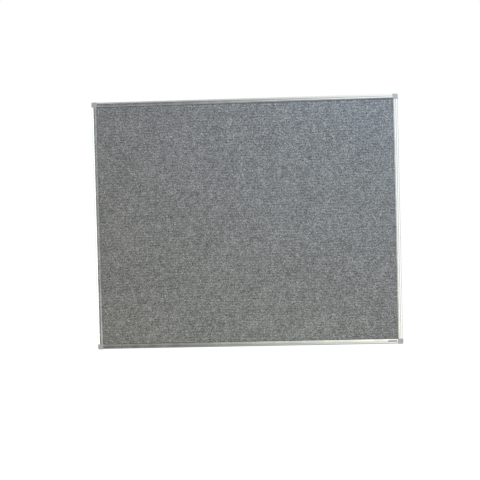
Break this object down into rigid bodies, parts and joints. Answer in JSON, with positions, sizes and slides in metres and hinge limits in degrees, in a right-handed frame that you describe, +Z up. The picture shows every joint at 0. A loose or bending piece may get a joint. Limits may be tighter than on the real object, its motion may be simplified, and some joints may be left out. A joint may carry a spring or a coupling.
{
  "type": "framed fabric display board",
  "caption": "Wall-hung display board with a grey felt face in a slim satin aluminium frame, with square grey push-on corner caps over the wall screw holes.",
  "frame": {"origin": "middle of the width and of the depth, level with the lowest edge of the frame", "axes": "+X to the right as seen from the felt side, +Y towards the wall, +Z up; the felt faces -Y"},
  "size_m": [1.5, 0.024, 1.22],
  "materials": {
    "felt": "matte",
    "softboard": "matte",
    "hardboard": "matte",
    "badge_plate": "satin",
    "anodised_aluminium": "satin",
    "zinc_steel": "satin",
    "block_plastic": "matte",
    "cap_plastic": "satin"
  },
  "bodies": {
    "board": {"felt_face": "felt", "core_board": "softboard", "back_sheet": "hardboard", "badge": "badge_plate", "rail_bottom": "anodised_aluminium", "rail_left": "anodised_aluminium", "rail_top": "anodised_aluminium", "rail_right": "anodised_aluminium", "rail_screw_bottom_1": "zinc_steel", "rail_screw_bottom_2": "zinc_steel", "rail_screw_left_1": "zinc_steel", "rail_screw_left_2": "zinc_steel", "rail_screw_top_1": "zinc_steel", "rail_screw_top_2": "zinc_steel", "rail_screw_right_1": "zinc_steel", "rail_screw_right_2": "zinc_steel", "corner_block_bottom_left": "block_plastic", "corner_block_top_left": "block_plastic", "corner_block_top_right": "block_plastic", "corner_block_bottom_right": "block_plastic"},
    "cap_bottom_left": {"corner_cap_bottom_left": "cap_plastic"},
    "cap_top_left": {"corner_cap_top_left": "cap_plastic"},
    "cap_top_right": {"corner_cap_top_right": "cap_plastic"},
    "cap_bottom_right": {"corner_cap_bottom_right": "cap_plastic"}
  },
  "joints": [
    {"name": "cap_bottom_left_pull", "type": "slide", "parent": "board", "child": "cap_bottom_left", "axis": [0, -1, 0], "range_m": [0, 0.025]},
    {"name": "cap_top_left_pull", "type": "slide", "parent": "board", "child": "cap_top_left", "axis": [0, -1, 0], "range_m": [0, 0.025]},
    {"name": "cap_top_right_pull", "type": "slide", "parent": "board", "child": "cap_top_right", "axis": [0, -1, 0], "range_m": [0, 0.025]},
    {"name": "cap_bottom_right_pull", "type": "slide", "parent": "board", "child": "cap_bottom_right", "axis": [0, -1, 0], "range_m": [0, 0.025]}
  ]
}
